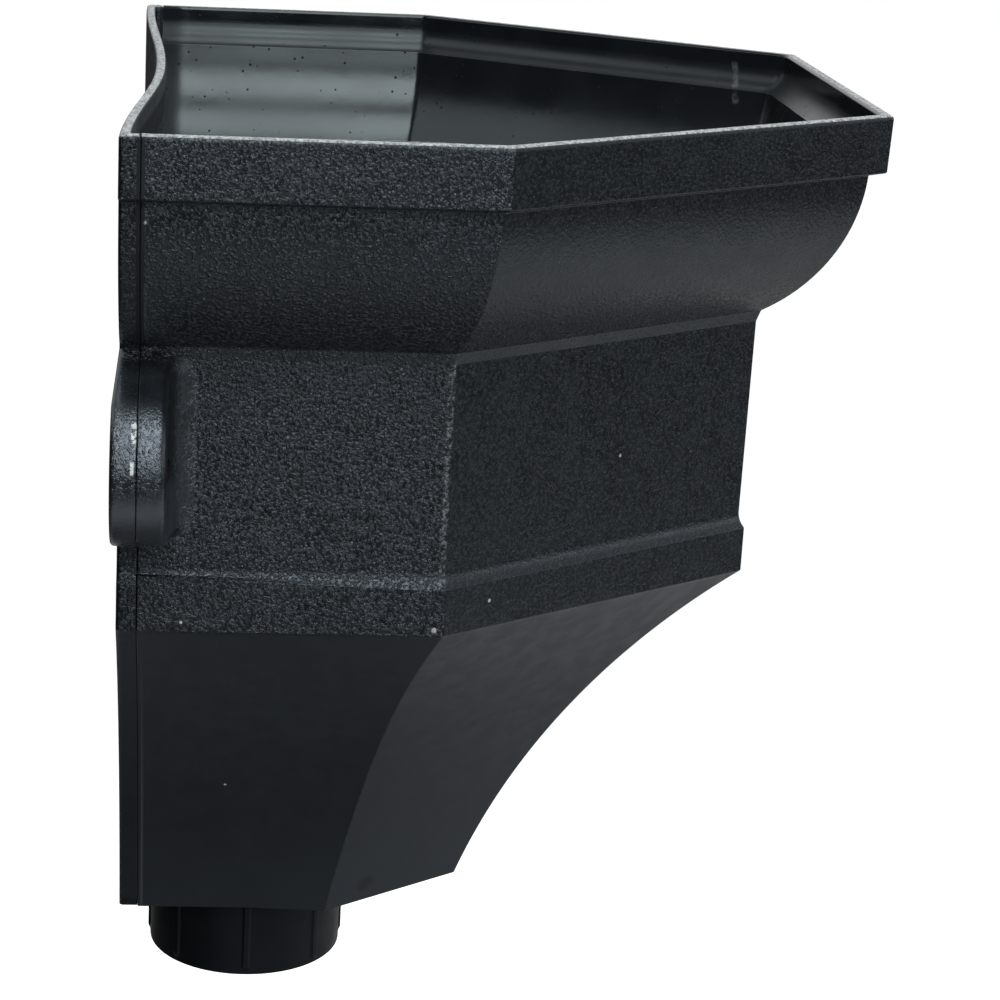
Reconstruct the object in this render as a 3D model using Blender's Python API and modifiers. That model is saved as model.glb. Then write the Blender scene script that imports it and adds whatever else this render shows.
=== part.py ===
"""Downpipe hopper head: a two-part moulded box with a mitred moulding profile.

The front body carries the sides, the two slanted corners, the front and the
outlet. The back plate closes it towards the wall. Lengths below are in
millimetres; the finished objects are in metres with +Z up, the front facing -Y
and the wall on the +Y side.
"""
import math

import bmesh
import bpy
from mathutils import Matrix, Vector

MM = 0.001

# Plan of the rim
RIM_WIDTH = 290.0
DEPTH = 215.0
SIDE_LENGTH = 99.0
FRONT_SHARE = 0.4607
FRONT_WIDTH = RIM_WIDTH * FRONT_SHARE

# Heights of the mouldings from the rim down. A taller body gets a longer funnel.
BODY_HEIGHT = 260.0
RIM_HEIGHT = 16.4
SOFFIT_DROP = 1.2
OVOLO_HEIGHT = 43.0
OVOLO_STEP = 3.4
NECK_HEIGHT = 58.6
BAND_SLOPE = 4.8
BAND_HEIGHT = 13.3

# The same levels, measured up from the underside of the body
RIM_BOTTOM = BODY_HEIGHT - RIM_HEIGHT
OVOLO_TOP = RIM_BOTTOM - SOFFIT_DROP
OVOLO_BOTTOM = OVOLO_TOP - OVOLO_HEIGHT
NECK_TOP = OVOLO_BOTTOM - OVOLO_STEP
NECK_BOTTOM = NECK_TOP - NECK_HEIGHT
BAND_TOP = NECK_BOTTOM - BAND_SLOPE
BAND_BOTTOM = BAND_TOP - BAND_HEIGHT

# How far each part of the profile stands in from the rim
RIM_DRAFT = 0.5
SOFFIT_IN = 5.1
OVOLO_IN = 29.9
NECK_IN = 31.0
NECK_DRAFT = 0.4
BAND_IN = 29.6

# Radii of the two large curves of the profile
OVOLO_RADIUS = 55.0
SWEEP_RADIUS = 284.0

# Walls
WALL = 4.0
FLOOR = 4.0
BACK_WALL = 3.2

# Joint between the two mouldings
SEAM_DEPTH = 5.6
SEAM_GAP = 0.3

# The back plate leans forward around the middle of its top edge
BOW = 6.4
BOW_CENTRE = -20.0
BOW_HEIGHT = 85.0
BOW_STEPS = 8

# Outlet
OUTLET_RADIUS = 31.0
OUTLET_LENGTH = 27.0
OUTLET_WALL = 2.6
OUTLET_FROM_WALL = 40.3
OUTLET_LEAD = 0.4
OUTLET_SEGMENTS = 64
OUTLET_CLEARANCE = 7.0
BOTTOM_IN = RIM_WIDTH / 2.0 - OUTLET_RADIUS - OUTLET_CLEARANCE
RIB_COUNT = 8
RIB_WIDTH = 2.6
RIB_PROUD = 0.7
RIB_END = 2.0

# The side walls spread a little at the foot, next to the outlet
FOOT_HEIGHT = 52.0
FOOT_SPREAD = 2.2

# Ears on both sides of the joint
EAR_REACH = 29.0
EAR_RADIUS = 20.0
EAR_DROP = 29.0
EAR_HEIGHT = NECK_TOP - EAR_DROP
EAR_FRONT = 12.3
EAR_PROUD = 1.4
EAR_TOP_COVE = 11.0
EAR_FRONT_COVE = 10.0
EAR_FOOT_COVE = 2.5
EAR_ROOT = 2.0
EAR_RAMP = 11.0
EAR_FOOT_CHAMFER = 2.6
EAR_HOLE_RADIUS = 3.5
EAR_HOLE_SEGMENTS = 24

EDGE_ROUND = 0.7
OVERRUN = 6.0

# The middle of the whole depth is at y = 0, the end of the outlet at z = 0
WALL_Y = (DEPTH - EAR_PROUD) / 2.0
BODY_Z = OUTLET_LENGTH

COLLECTION_NAME = "downpipe_hopper_head"
WORK_COLLECTION = "shaping_bodies"

PLASTIC = (0.018, 0.020, 0.022)


def clear_scene():
    for obj in list(bpy.data.objects):
        bpy.data.objects.remove(obj, do_unlink=True)


def new_collection(name):
    """A collection of this name, in place of one left from an earlier run."""
    old = bpy.data.collections.get(name)
    if old is not None:
        bpy.data.collections.remove(old)
    collection = bpy.data.collections.new(name)
    bpy.context.scene.collection.children.link(collection)
    return collection


def material(name, colour, roughness):
    mat = bpy.data.materials.new(name)
    mat.use_nodes = True
    shader = mat.node_tree.nodes["Principled BSDF"]
    shader.inputs["Base Color"].default_value = (*colour, 1.0)
    shader.inputs["Roughness"].default_value = roughness
    shader.inputs["Metallic"].default_value = 0.0
    mat.diffuse_color = (*colour, 1.0)
    return mat


def place(x, y, z):
    """A point given from the wall plane and the underside of the body."""
    return (x * MM, (y + WALL_Y) * MM, (z + BODY_Z) * MM)


def arc(start, end, radius, side, steps):
    """Points along the arc from start to end, both left out.

    The centre lies on the left of the way from start to end for side +1 and on
    its right for side -1.
    """
    dx = end[0] - start[0]
    dz = end[1] - start[1]
    chord = math.hypot(dx, dz)
    rise = math.sqrt(radius * radius - chord * chord / 4.0)
    cx = (start[0] + end[0]) / 2.0 - side * rise * dz / chord
    cz = (start[1] + end[1]) / 2.0 + side * rise * dx / chord
    a0 = math.atan2(start[1] - cz, start[0] - cx)
    a1 = math.atan2(end[1] - cz, end[0] - cx)
    turn = (a1 - a0 + math.pi) % (2.0 * math.pi) - math.pi
    points = []
    for i in range(1, steps):
        a = a0 + turn * i / steps
        points.append((cx + radius * math.cos(a), cz + radius * math.sin(a)))
    return points


def outer_profile():
    """Outside of the wall from the rim down, as (distance in, height)."""
    points = [(0.0, BODY_HEIGHT), (RIM_DRAFT, RIM_BOTTOM), (SOFFIT_IN, OVOLO_TOP)]
    points += arc((SOFFIT_IN, OVOLO_TOP), (OVOLO_IN, OVOLO_BOTTOM), OVOLO_RADIUS, 1, 9)
    points += [(OVOLO_IN, OVOLO_BOTTOM), (NECK_IN, NECK_TOP)]
    points += [(NECK_IN + NECK_DRAFT, NECK_BOTTOM), (BAND_IN, BAND_TOP), (BAND_IN, BAND_BOTTOM)]
    points += arc((BAND_IN, BAND_BOTTOM), (BOTTOM_IN, 0.0), SWEEP_RADIUS, -1, 14)
    points.append((BOTTOM_IN, 0.0))
    return points


def inner_profile():
    """Inside of the wall from above the rim down to the floor."""
    step_z = RIM_BOTTOM + WALL
    neck_in = NECK_IN + WALL
    top_in = SOFFIT_IN + WALL
    slope = (OVOLO_BOTTOM - OVOLO_TOP) / (OVOLO_IN - SOFFIT_IN)
    neck_z = step_z + slope * (neck_in - top_in)
    rim_in = WALL + RIM_DRAFT
    fillet = top_in - rim_in
    points = [(WALL, BODY_HEIGHT + OVERRUN), (rim_in, step_z + fillet)]
    points += arc((rim_in, step_z + fillet), (top_in, step_z), fillet, 1, 3)
    points.append((top_in, step_z))
    points += arc((top_in, step_z), (neck_in, neck_z), OVOLO_RADIUS - WALL, 1, 7)
    points.append((neck_in, neck_z))
    reach = SWEEP_RADIUS + WALL
    centre = sweep_centre()
    join_z = centre[1] + math.sqrt(reach ** 2 - (neck_in - centre[0]) ** 2)
    foot_in = centre[0] + math.sqrt(reach ** 2 - (FLOOR - centre[1]) ** 2)
    points.append((neck_in, join_z))
    points += arc((neck_in, join_z), (foot_in, FLOOR), reach, -1, 12)
    points.append((foot_in, FLOOR))
    return points


def sweep_centre():
    """Centre of the hollow curve of the lower body."""
    dx = BOTTOM_IN - BAND_IN
    dz = -BAND_BOTTOM
    chord = math.hypot(dx, dz)
    rise = math.sqrt(SWEEP_RADIUS ** 2 - chord ** 2 / 4.0)
    cx = (BAND_IN + BOTTOM_IN) / 2.0 + rise * dz / chord
    cz = BAND_BOTTOM / 2.0 - rise * dx / chord
    return (cx, cz)


def half_plan(distance):
    """Corner points of the left half of the plan, moved in by a distance.

    Returns the end of the side wall and the corner of the front wall, both as
    (x, y) from the middle and the wall plane.
    """
    run_x = (RIM_WIDTH - FRONT_WIDTH) / 2.0
    run_y = DEPTH - SIDE_LENGTH
    length = math.hypot(run_x, run_y)
    nx = run_y / length
    ny = run_x / length
    px = -RIM_WIDTH / 2.0 + nx * distance
    py = -SIDE_LENGTH + ny * distance
    side_x = -RIM_WIDTH / 2.0 + distance
    front_y = -DEPTH + distance
    side_y = py - (side_x - px) * run_y / run_x
    front_x = px + (py - front_y) * run_x / run_y
    return (side_x, side_y), (front_x, front_y)


def plan(distance, back_y, height):
    """The eight corners of the plan at one level, left to right."""
    side, front = half_plan(distance)
    spread = FOOT_SPREAD * max(0.0, 1.0 - height / FOOT_HEIGHT) ** 1.5
    mid_y = -OUTLET_FROM_WALL
    left = [(side[0], back_y), (side[0] - 0.15 * spread, mid_y)]
    left += [(side[0] - spread, side[1] + spread), front]
    right = [(-x, y) for x, y in reversed(left)]
    return left + right


def loft(name, rows, close_ends=True):
    """A closed body through rows of points, each row a closed loop."""
    mesh = bpy.data.meshes.new(name)
    bm = bmesh.new()
    rings = [[bm.verts.new(place(*p)) for p in row] for row in rows]
    count = len(rings[0])
    for low, high in zip(rings[:-1], rings[1:]):
        for i in range(count):
            j = (i + 1) % count
            bm.faces.new((low[i], low[j], high[j], high[i]))
    if close_ends:
        bm.faces.new(list(reversed(rings[0])))
        bm.faces.new(rings[-1])
    bmesh.ops.remove_doubles(bm, verts=bm.verts, dist=0.00001)
    bmesh.ops.recalc_face_normals(bm, faces=bm.faces)
    bm.to_mesh(mesh)
    bm.free()
    return bpy.data.objects.new(name, mesh)


def plug(name, profile, back_y):
    """The solid inside a wall profile, from the back plane to the front."""
    rows = []
    for distance, height in profile:
        rows.append([(x, y, height) for x, y in plan(distance, back_y, height)])
    return loft(name, rows)


def from_bmesh(name, bm):
    mesh = bpy.data.meshes.new(name)
    bm.to_mesh(mesh)
    bm.free()
    return bpy.data.objects.new(name, mesh)


def box(name, low, high):
    """A block between two opposite corners."""
    middle = place(*[(a + b) / 2.0 for a, b in zip(low, high)])
    sides = [(b - a) * MM for a, b in zip(low, high)]
    bm = bmesh.new()
    matrix = Matrix.Translation(middle) @ Matrix.Diagonal((*sides, 1.0))
    bmesh.ops.create_cube(bm, size=1.0, matrix=matrix)
    return from_bmesh(name, bm)


def bar(name, radius, start, end, segments):
    """A round bar from one point to another."""
    a = Vector(place(*start))
    b = Vector(place(*end))
    turn = Vector((0.0, 0.0, 1.0)).rotation_difference(b - a).to_matrix().to_4x4()
    bm = bmesh.new()
    bmesh.ops.create_cone(bm, cap_ends=True, segments=segments, radius1=radius * MM,
                          radius2=radius * MM, depth=(b - a).length,
                          matrix=Matrix.Translation((a + b) / 2.0) @ turn)
    return from_bmesh(name, bm)


def screw_hole(name, side):
    """The hole through the nose of one ear, from front to back."""
    x = side * (RIM_WIDTH / 2.0 - NECK_IN + EAR_REACH - EAR_RADIUS)
    front = -EAR_FRONT - EAR_FRONT_COVE - OVERRUN
    return bar(name, EAR_HOLE_RADIUS, (x, front, EAR_HEIGHT), (x, EAR_PROUD + OVERRUN, EAR_HEIGHT),
               EAR_HOLE_SEGMENTS)


def turned(name, profile):
    """A profile of (radius, height) turned about the axis of the outlet."""
    mesh = bpy.data.meshes.new(name)
    points = [(r * MM, 0.0, z * MM) for r, z in profile]
    mesh.from_pydata(points, [(i, i + 1) for i in range(len(points) - 1)], [])
    obj = stage(bpy.data.objects.new(name, mesh))
    modifier = obj.modifiers.new("turn", "SCREW")
    modifier.steps = OUTLET_SEGMENTS
    modifier.render_steps = OUTLET_SEGMENTS
    modifier.use_merge_vertices = True
    modifier.merge_threshold = 0.00001
    bake(obj)
    half_step = Matrix.Rotation(math.pi / OUTLET_SEGMENTS, 4, "Z")
    obj.data.transform(Matrix.Translation(place(0.0, -OUTLET_FROM_WALL, 0.0)) @ half_step)
    return obj


def outlet():
    """The round outlet as a solid bar with a chamfered lower end."""
    low = -OUTLET_LENGTH
    high = FLOOR / 2.0
    profile = [(0.0, high), (OUTLET_RADIUS, high), (OUTLET_RADIUS, low + OUTLET_LEAD)]
    profile += [(OUTLET_RADIUS - OUTLET_LEAD, low), (0.0, low)]
    return turned("outlet", profile)


def bore():
    """The round way through the floor and the outlet."""
    radius = OUTLET_RADIUS - OUTLET_WALL
    low = -OUTLET_LENGTH - OVERRUN
    high = FLOOR + OVERRUN
    return turned("bore", [(0.0, high), (radius, high), (radius, low), (0.0, low)])


def cove(radius, run):
    """Height of a hollow fillet at a distance from the wall it starts on."""
    if run >= radius:
        return 0.0
    return radius - math.sqrt(radius ** 2 - (radius - run) ** 2)


def ear_section(run):
    """Top, foot and front of the ear at a distance out from the neck."""
    nose = EAR_REACH - EAR_RADIUS
    half = EAR_RADIUS
    if run > nose:
        half = math.sqrt(max(EAR_RADIUS ** 2 - (run - nose) ** 2, 0.0))
    top = EAR_HEIGHT + half
    foot = EAR_HEIGHT - half
    front = EAR_FRONT
    if run < EAR_TOP_COVE:
        top += cove(EAR_TOP_COVE, max(run, 0.0))
    if run < EAR_FOOT_COVE:
        foot -= cove(EAR_FOOT_COVE, max(run, 0.0))
    if run < EAR_FRONT_COVE:
        front += cove(EAR_FRONT_COVE, max(run, 0.0))
    return top, foot, front


def ear(name, side):
    """One whole ear; side is -1 on the left and +1 on the right."""
    nose = EAR_REACH - EAR_RADIUS
    runs = [-EAR_ROOT, 0.0, 1.0, 2.5, 4.5, nose]
    runs += [nose + EAR_RADIUS * math.sin(math.radians(a)) for a in (16, 30, 43, 55, 66, 76, 84)]
    wall_x = RIM_WIDTH / 2.0 - NECK_IN
    shoulder = EAR_HEIGHT + EAR_RADIUS + EAR_TOP_COVE - EAR_RAMP
    rows = []
    for run in runs:
        top, foot, front = ear_section(run)
        x = side * (wall_x + run)
        chamfer = min(EAR_FOOT_CHAMFER, (top - foot) / 4.0)
        low = foot + chamfer
        high = min(top - chamfer * 0.3, shoulder)
        lean = EAR_PROUD * max(0.0, 1.0 - (top - high) / EAR_RAMP)
        row = [(x, -front, foot), (x, 0.0, foot), (x, EAR_PROUD, low)]
        row += [(x, EAR_PROUD, high), (x, lean, top), (x, -front, top)]
        rows.append(row)
    return loft(name, rows)


def combine(target, tool, operation):
    """Apply one solid to another and drop the tool."""
    modifier = target.modifiers.new(operation.lower(), "BOOLEAN")
    modifier.operation = operation
    modifier.solver = "EXACT"
    modifier.object = tool
    bake(target)
    bpy.data.objects.remove(tool, do_unlink=True)


def bake(obj):
    """Turn the modifiers of an object into its mesh."""
    bpy.context.view_layer.update()
    graph = bpy.context.evaluated_depsgraph_get()
    mesh = bpy.data.meshes.new_from_object(obj.evaluated_get(graph), depsgraph=graph)
    obj.modifiers.clear()
    obj.data = mesh


def round_edges(obj, width, segments, angle):
    modifier = obj.modifiers.new("edge_round", "BEVEL")
    modifier.width = width * MM
    modifier.segments = segments
    modifier.limit_method = "ANGLE"
    modifier.angle_limit = math.radians(angle)
    modifier.use_clamp_overlap = True
    bake(obj)


def finish(obj, mat, collection, parent):
    """Clean the mesh, shade it and file it under the finished object."""
    bm = bmesh.new()
    bm.from_mesh(obj.data)
    bmesh.ops.remove_doubles(bm, verts=bm.verts, dist=0.00002)
    bmesh.ops.dissolve_degenerate(bm, edges=bm.edges, dist=0.00002)
    bmesh.ops.recalc_face_normals(bm, faces=bm.faces)
    bm.to_mesh(obj.data)
    bm.free()
    obj.data.materials.clear()
    obj.data.materials.append(mat)
    for polygon in obj.data.polygons:
        polygon.material_index = 0
        polygon.use_smooth = True
    obj.data.set_sharp_from_angle(angle=math.radians(24.0))
    for owner in list(obj.users_collection):
        owner.objects.unlink(obj)
    collection.objects.link(obj)
    obj.parent = parent


def stage(obj):
    """Show a body to the modifiers, outside the finished object's collection."""
    bpy.data.collections[WORK_COLLECTION].objects.link(obj)
    return obj


def bow(x, height):
    """How far the back plate leans forward at a point of its face."""
    if x < BOW_CENTRE:
        u = (x - BOW_CENTRE) / (RIM_WIDTH / 2.0 + BOW_CENTRE)
    else:
        u = (x - BOW_CENTRE) / (RIM_WIDTH / 2.0 - BOW_CENTRE)
    v = (BODY_HEIGHT - height) / BOW_HEIGHT
    if abs(u) >= 1.0 or v >= 1.0:
        return 0.0
    across = math.cos(u * math.pi / 2.0) ** 2
    down = math.cos(v * math.pi / 2.0) ** 2
    return BOW * across * down


def back_row(distance, height, solid):
    """One level of the back plate, as a closed loop of points."""
    half = RIM_WIDTH / 2.0 - distance
    inner = half - WALL
    steps = 18
    row = []
    for i in range(steps + 1):
        x = half - 2.0 * half * i / steps
        row.append((x, -bow(x, height), height))
    row += [(-half, -SEAM_DEPTH, height), (-inner, -SEAM_DEPTH, height)]
    for i in range(steps + 1):
        x = -inner + 2.0 * inner * i / steps
        y = -SEAM_DEPTH if solid else -BACK_WALL - bow(x, height)
        row.append((x, y, height))
    row += [(inner, -SEAM_DEPTH, height), (half, -SEAM_DEPTH, height)]
    return row


def profile_at(profile, height):
    """Distance in at a height, read from a profile that runs downward."""
    for (d0, z0), (d1, z1) in zip(profile[:-1], profile[1:]):
        if z1 <= height <= z0 and z0 > z1:
            return d0 + (d1 - d0) * (z0 - height) / (z0 - z1)
    return profile[-1][0]


def build_back_plate():
    profile = outer_profile()
    bow_levels = {BODY_HEIGHT - BOW_HEIGHT * i / BOW_STEPS for i in range(1, BOW_STEPS + 1)}
    levels = sorted({z for _, z in profile} | {FLOOR} | bow_levels)
    rows = [back_row(profile_at(profile, 0.0), 0.0, True)]
    rows.append(back_row(profile_at(profile, FLOOR), FLOOR, True))
    for height in levels:
        if height >= FLOOR:
            rows.append(back_row(profile_at(profile, height), height, False))
    plate = stage(loft("back_plate", rows))
    for side, tag in ((-1, "left"), (1, "right")):
        lug = stage(ear("ear_" + tag, side))
        reach = RIM_WIDTH
        keep = box("keep_" + tag, (-reach, -SEAM_DEPTH, 0.0), (reach, OVERRUN, BODY_HEIGHT))
        combine(lug, stage(keep), "INTERSECT")
        combine(lug, stage(screw_hole("hole_" + tag, side)), "DIFFERENCE")
        combine(plate, lug, "UNION")
    return plate


def build_front_body():
    joint_y = -(SEAM_DEPTH + SEAM_GAP)
    body = stage(plug("front_body", outer_profile(), joint_y))
    round_edges(body, EDGE_ROUND, 2, 24.0)
    for side, tag in ((-1, "left"), (1, "right")):
        lug = stage(ear("ear_" + tag, side))
        reach = RIM_WIDTH
        keep = box("keep_" + tag, (-reach, -DEPTH, 0.0), (reach, joint_y, BODY_HEIGHT))
        combine(lug, stage(keep), "INTERSECT")
        combine(lug, stage(screw_hole("hole_" + tag, side)), "DIFFERENCE")
        combine(body, lug, "UNION")
    combine(body, outlet(), "UNION")
    for i in range(RIB_COUNT):
        turn = 2.0 * math.pi * i / RIB_COUNT
        combine(body, stage(rib("rib_" + str(i), turn)), "UNION")
    hollow = stage(plug("hollow", inner_profile(), OVERRUN))
    combine(body, hollow, "DIFFERENCE")
    combine(body, bore(), "DIFFERENCE")
    return body


def rib(name, turn):
    """One upright rib on the outlet."""
    inside = OUTLET_RADIUS - OUTLET_WALL / 2.0
    outside = OUTLET_RADIUS + RIB_PROUD
    half = RIB_WIDTH / 2.0
    flat = half * 0.5
    corners = [(inside, -half), (OUTLET_RADIUS, -half), (outside, -flat)]
    corners += [(outside, flat), (OUTLET_RADIUS, half), (inside, half)]
    rows = []
    for z in (-OUTLET_LENGTH + RIB_END, FLOOR / 2.0):
        row = []
        for r, t in corners:
            x = r * math.cos(turn) - t * math.sin(turn)
            y = r * math.sin(turn) + t * math.cos(turn)
            row.append((x, y - OUTLET_FROM_WALL, z))
        rows.append(row)
    return loft(name, rows)


def main():
    clear_scene()
    collection = new_collection(COLLECTION_NAME)
    new_collection(WORK_COLLECTION)
    whole = bpy.data.objects.new(COLLECTION_NAME, None)
    collection.objects.link(whole)
    finish(build_front_body(), material("body_plastic", PLASTIC, 0.48), collection, whole)
    finish(build_back_plate(), material("back_plastic", PLASTIC, 0.46), collection, whole)


main()
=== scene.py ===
"""Downpipe hopper head, dressed for its picture.

The two mouldings are rebuilt finely from the same plan and profile as the solid
model, with rounded edges, the cast grain and the joint; the weld bead on the ears
is only painted highlights, and some light and shade is painted into the colours.
Lengths are in millimetres, taken from the wall plane and the underside of the
body, and place() turns them into the frame's metres.
"""
import math

import bmesh
import bpy
from mathutils import Matrix, Vector

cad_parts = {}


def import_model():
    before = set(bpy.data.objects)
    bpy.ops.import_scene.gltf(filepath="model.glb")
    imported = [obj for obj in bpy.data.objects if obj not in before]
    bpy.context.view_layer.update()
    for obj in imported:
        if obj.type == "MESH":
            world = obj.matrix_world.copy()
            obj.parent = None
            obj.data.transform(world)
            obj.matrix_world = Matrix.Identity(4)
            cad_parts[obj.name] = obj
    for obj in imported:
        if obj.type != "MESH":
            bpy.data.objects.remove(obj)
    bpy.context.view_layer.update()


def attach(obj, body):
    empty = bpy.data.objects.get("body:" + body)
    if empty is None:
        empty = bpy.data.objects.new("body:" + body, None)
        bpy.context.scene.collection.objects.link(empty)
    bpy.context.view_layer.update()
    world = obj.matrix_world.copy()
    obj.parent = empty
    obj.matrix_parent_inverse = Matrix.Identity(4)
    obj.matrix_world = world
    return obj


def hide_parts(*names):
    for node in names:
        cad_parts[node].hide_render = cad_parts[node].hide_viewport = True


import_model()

MM = 0.001

# plan of the rim
RIM_WIDTH = 290.0
DEPTH = 215.0
SIDE_LENGTH = 99.0
FRONT_WIDTH = 133.6

# heights of the mouldings from the rim down
BODY_HEIGHT = 260.0
RIM_HEIGHT = 16.4
SOFFIT_DROP = 1.2
OVOLO_HEIGHT = 43.0
OVOLO_STEP = 3.4
NECK_HEIGHT = 58.6
BAND_SLOPE = 4.8
BAND_HEIGHT = 13.3

# the same levels, up from the underside of the body
RIM_BOTTOM = BODY_HEIGHT - RIM_HEIGHT
OVOLO_TOP = RIM_BOTTOM - SOFFIT_DROP
OVOLO_BOTTOM = OVOLO_TOP - OVOLO_HEIGHT
NECK_TOP = OVOLO_BOTTOM - OVOLO_STEP
NECK_BOTTOM = NECK_TOP - NECK_HEIGHT
BAND_TOP = NECK_BOTTOM - BAND_SLOPE
BAND_BOTTOM = BAND_TOP - BAND_HEIGHT

# how far each part of the profile stands in from the rim
RIM_DRAFT = 0.5
SOFFIT_IN = 5.1
OVOLO_IN = 29.9
NECK_IN = 31.0
NECK_DRAFT = 0.4
BAND_IN = 29.6

# curves of the profile
OVOLO_RADIUS = 55.0
OVOLO_INNER = 62.0
BAND_COVE = 7.3
SWEEP_RADIUS = 284.0
STEP_HOLLOW = 7.5

# walls and the joint
WALL = 4.0
INNER_DRAFT = 0.03
FLOOR = 4.0
BACK_WALL = 3.2
SEAM_DEPTH = 5.6
SEAM_GAP = 0.06

# the back plate leans forward around the middle of its top edge
BOW = 6.4
BOW_CENTRE = -20.0
BOW_HEIGHT = 85.0

# outlet
OUTLET_RADIUS = 31.0
OUTLET_LENGTH = 27.0
OUTLET_WALL = 2.6
OUTLET_FROM_WALL = 40.3
OUTLET_CLEARANCE = 7.0
BOTTOM_IN = RIM_WIDTH / 2.0 - OUTLET_RADIUS - OUTLET_CLEARANCE
RIB_COUNT = 8
RIB_WIDTH = 2.6
RIB_PROUD = 0.7

# the side walls spread a little at the foot, next to the outlet
FOOT_HEIGHT = 52.0
FOOT_SPREAD = 2.2

# the ledge rises along the side walls towards the back
LEDGE_RISE = 2.4
LEDGE_START = -86.0
LEDGE_RUN = 80.0
LEDGE_REACH = 2.6

# ears
EAR_REACH = 29.0
EAR_RADIUS = 23.0
EAR_HEIGHT = 169.0
EAR_FRONT = 13.4
EAR_PROUD = 1.4
EAR_SLOPE = 60.0
EAR_FRONT_COVE = 10.0
EAR_FRONT_ROUND = 2.2
EAR_ROUND_GROWTH = 0.85
EAR_BACK_ROUND = 1.2
EAR_FOOT_COVE = 2.5
EAR_RAMP = 11.0
EAR_SHOULDER = 198.0
EAR_SINK = 3.0
EAR_SQUEEZE = 0.72
EAR_HOLE_RADIUS = 3.5
EAR_HOLE_RUN = 9.0
EAR_HOLE_HEIGHT = 167.0

# edges
TOP_ROUND = 1.1
CORNER_ROUND = 1.3
INNER_CORNER_ROUND = 5.0
SEAM_ROUND = 0.4
OVERRUN = 6.0

# the body's own zero in the frame
WALL_Y = (DEPTH - EAR_PROUD) / 2.0
BODY_Z = OUTLET_LENGTH
JOINT_Y = (WALL_Y - SEAM_DEPTH) * MM

# long boxes across the camera's side: height in degrees, half spread in degrees, watts
SOFT_BOXES = (("level", 6.0, 7.0, 4.8), ("low", 27.5, 8.5, 11.5), ("high", 52.5, 9.0, 11.0))
BOX_TARGET = (0.12, -0.05, 0.26)
BOX_DISTANCE = 1.9
FLOOR_Z = -0.35

# painted highlights of the weld bead on the ear, as bright spots: place across the joint, half width, low and
# high end
BEAD_HIGHLIGHTS = ((102.0, 0.9, 206.0, 211.5), (102.3, 0.6, 198.0, 202.5))

# marks: place in the frame's millimetres, and radius
SPECKS = (((-139.5, 100.0, 264.0), 0.7), ((-115.5, 89.0, 149.0), 0.6), ((-61.0, 75.0, 78.5), 0.6),
          ((-115.5, 19.5, 148.0), 1.0), ((-106.5, 3.5, 154.0), 0.7), ((-78.5, -35.0, 189.0), 0.6),
          ((-141.0, 74.0, 287.0), 0.9), ((-141.0, 61.0, 287.0), 0.9), ((-141.0, 16.0, 287.0), 0.9))
SMUDGE = ((-34.0, 29.5, 34.0), 4.0)
SCUFF = ((74.5, -89.5, 282.0), (68.0, -89.5, 271.0))

# zones of the finishes and of the painted light and shade, in the frame's metres: where each starts, and
# where it is full
CAST_ZONE = (0.1450, 0.1466)
PAINTED_SHEEN_ZONE = (0.050, 0.150)
RIM_TOP_ZONE = (0.2850, 0.2862)
GROOVE_ZONE = (0.226, 0.230)
LINE_FOOT_ZONE = (0.229, 0.232)
LINE_TOP_ZONE = (0.248, 0.245)
EAR_RUN_ZONE = (0.1165, 0.1195)
EAR_TOP_ZONE = (0.2265, 0.2240)
EAR_LOW_ZONE = (0.1930, 0.1870)
EAR_HIGH_ZONE = (0.2120, 0.2155)
EAR_NOSE_ZONE = (-0.128, -0.130)
STEP_FOOT_ZONE = (0.2742, 0.2750)
STEP_TOP_ZONE = (0.2822, 0.2812)
RIM_FACE_ZONE = (0.2822, 0.2830)
LEAN_ZONE = (0.0915, 0.1070)
# place of the painted highlight down the neck's corner
HIGHLIGHT_CORNER_Y = 17.8

# colours
OUTSIDE_DEEP = (0.0030, 0.0038, 0.0048, 1.0)
OUTSIDE_PALE = (0.0048, 0.0060, 0.0076, 1.0)
INSIDE_DEEP = (0.0060, 0.0074, 0.0088, 1.0)
INSIDE_PALE = (0.0090, 0.0108, 0.0125, 1.0)
HOLE_DARK = (0.004, 0.005, 0.006, 1.0)
# painted sheen: a lighter colour where light falls on the slanted faces, on the ear's lower face and towards
# the top of the smooth lower walls
PAINTED_SHEEN = (0.0250, 0.0295, 0.0365, 1.0)
# pale tops of the grain, which are also painted glints of light
GRAIN_AND_GLINT = (0.066, 0.073, 0.084, 1.0)
# painted highlight on the rim's up-facing top, in flecks
RIM_TOP_HIGHLIGHT_DEEP = (0.12, 0.135, 0.14, 1.0)
RIM_TOP_HIGHLIGHT_PALE = (0.50, 0.53, 0.53, 1.0)
# painted shade in the joint's groove
GROOVE_SHADE = (0.002, 0.002, 0.003, 1.0)
SMUDGE_DARK = (0.002, 0.002, 0.002, 1.0)
DOT_DARK = (0.001, 0.001, 0.001, 1.0)
# painted highlight along the joint's edge
JOINT_EDGE_HIGHLIGHT = (0.030, 0.034, 0.040, 1.0)
# painted highlight along the neck's corner
CORNER_HIGHLIGHT = (0.13, 0.14, 0.15, 1.0)
SCUFF_PALE = (0.07, 0.075, 0.075, 1.0)
# painted highlights of the weld bead
BEAD_HIGHLIGHT = (0.58, 0.62, 0.58, 1.0)
SPECK_PALE = (0.42, 0.44, 0.42, 1.0)


def place(x, y, z):
    """A point from the wall plane and the underside of the body, in the frame's metres."""
    return Vector((x * MM, (y + WALL_Y) * MM, (z + BODY_Z) * MM))


# outlines

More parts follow.
